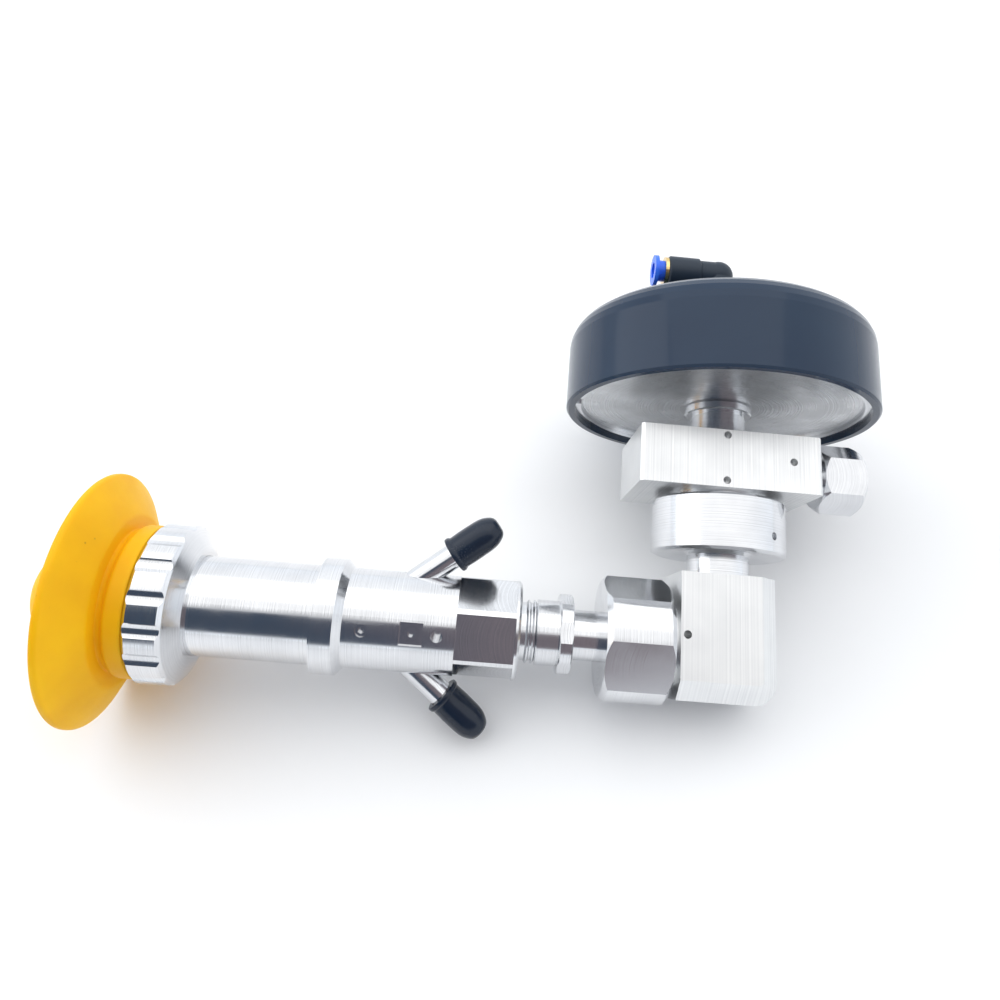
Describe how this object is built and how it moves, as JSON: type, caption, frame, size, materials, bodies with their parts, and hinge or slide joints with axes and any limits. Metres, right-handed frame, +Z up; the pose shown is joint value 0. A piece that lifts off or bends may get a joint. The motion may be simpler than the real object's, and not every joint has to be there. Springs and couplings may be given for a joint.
{
  "type": "waterjet cutting head with valve",
  "caption": "Abrasive water-jet cutting head: pneumatic on/off valve with a dark round actuator, right-angle elbow, barrel with capped abrasive ports, scalloped nut and yellow splash guard",
  "frame": {"origin": "Centre of the bounding box, at the bench the unit lies on", "axes": "+Z up from the bench. +X is the long direction: the nozzle points to -X and the elbow and valve are at +X. +Y runs from the elbow towards the actuator."},
  "size_m": [0.2828, 0.1742, 0.1129],
  "materials": {
    "turned_steel": "turned stainless steel, polished, with fine tool rings",
    "satin_steel": "machined stainless steel, satin",
    "hard_steel": "ground hard steel",
    "carbide": "sintered tungsten carbide, ground",
    "sapphire": "polished synthetic ruby",
    "yellow_guard": "moulded polyurethane, satin",
    "navy_vinyl": "soft dipped vinyl, glossy",
    "navy_paint": "glossy dark navy coating",
    "white_plastic": "machined polyethylene",
    "bronze": "machined bronze",
    "aluminium_piston": "turned aluminium",
    "black_rubber": "nitrile rubber",
    "brass": "nickel-free brass, turned",
    "black_plastic": "glass-filled nylon, satin",
    "blue_plastic": "bright blue acetal"
  },
  "bodies": {
    "valve_and_head": {"elbow_block": "satin_steel", "adapter": "turned_steel", "head_body": "turned_steel", "set_screw": "hard_steel", "pocket_screw": "hard_steel", "orifice_mount": "hard_steel", "orifice_jewel": "sapphire", "mixing_chamber": "carbide", "focusing_tube": "carbide", "collet": "hard_steel", "port_tube_upper": "turned_steel", "port_tube_lower": "turned_steel", "outlet_gland": "turned_steel", "outlet_body": "turned_steel", "valve_block": "satin_steel", "valve_seat": "hard_steel", "high_pressure_seal": "white_plastic", "backup_ring": "bronze", "actuator_mast": "turned_steel", "stem_bush": "bronze", "actuator_cup": "navy_paint", "actuator_plate": "satin_steel", "retaining_ring": "hard_steel", "air_stud": "brass"},
    "piston_and_stem": {"piston": "aluminium_piston", "piston_seal": "black_rubber", "valve_stem": "hard_steel"},
    "coupling_nut": {"swivel_nut": "turned_steel"},
    "clamping_nut": {"collet_nut": "turned_steel"},
    "guard": {"splash_guard": "yellow_guard"},
    "upper_cap": {"port_cap_upper": "navy_vinyl"},
    "lower_cap": {"port_cap_lower": "navy_vinyl"},
    "inlet_nut": {"inlet_gland_nut": "turned_steel"},
    "air_swivel": {"air_elbow": "black_plastic", "brass_ring": "brass"},
    "push_collar": {"release_collar": "blue_plastic"}
  },
  "joints": [
    {"name": "valve_stroke", "type": "slide", "parent": "valve_and_head", "child": "piston_and_stem", "axis": [0.0375, 0.922, 0.3854], "range_m": [0, 0.002]},
    {"name": "swivel_nut_turn", "type": "hinge", "parent": "valve_and_head", "child": "coupling_nut", "pos_m": [0.05167, -0.04675, 0.02333], "axis": [-0.9953, 0, 0.0969], "continuous": true},
    {"name": "collet_nut_turn", "type": "hinge", "parent": "valve_and_head", "child": "clamping_nut", "pos_m": [-0.09763, -0.04675, 0.03787], "axis": [-0.9953, 0, 0.0969], "continuous": true},
    {"name": "guard_pull_off", "type": "slide", "parent": "clamping_nut", "child": "guard", "axis": [-0.9953, 0, 0.0969], "range_m": [0, 0.02]},
    {"name": "upper_cap_pull", "type": "slide", "parent": "valve_and_head", "child": "upper_cap", "axis": [0.8167, 0.4853, 0.3122], "range_m": [0, 0.015]},
    {"name": "lower_cap_pull", "type": "slide", "parent": "valve_and_head", "child": "lower_cap", "axis": [0.7411, -0.4853, -0.4639], "range_m": [0, 0.015]},
    {"name": "inlet_nut_turn", "type": "hinge", "parent": "valve_and_head", "child": "inlet_nut", "pos_m": [0.12362, 0.00931, 0.03998], "axis": [0.9953, 0, -0.0969], "continuous": true},
    {"name": "air_elbow_swivel", "type": "hinge", "parent": "valve_and_head", "child": "air_swivel", "pos_m": [0.0864, 0.07311, 0.07052], "axis": [0.0375, 0.922, 0.3854], "continuous": true},
    {"name": "release_collar_press", "type": "slide", "parent": "air_swivel", "child": "push_collar", "axis": [0.9953, 0, -0.0969], "range_m": [0, 0.001], "stiffness_N_per_m": 800}
  ]
}
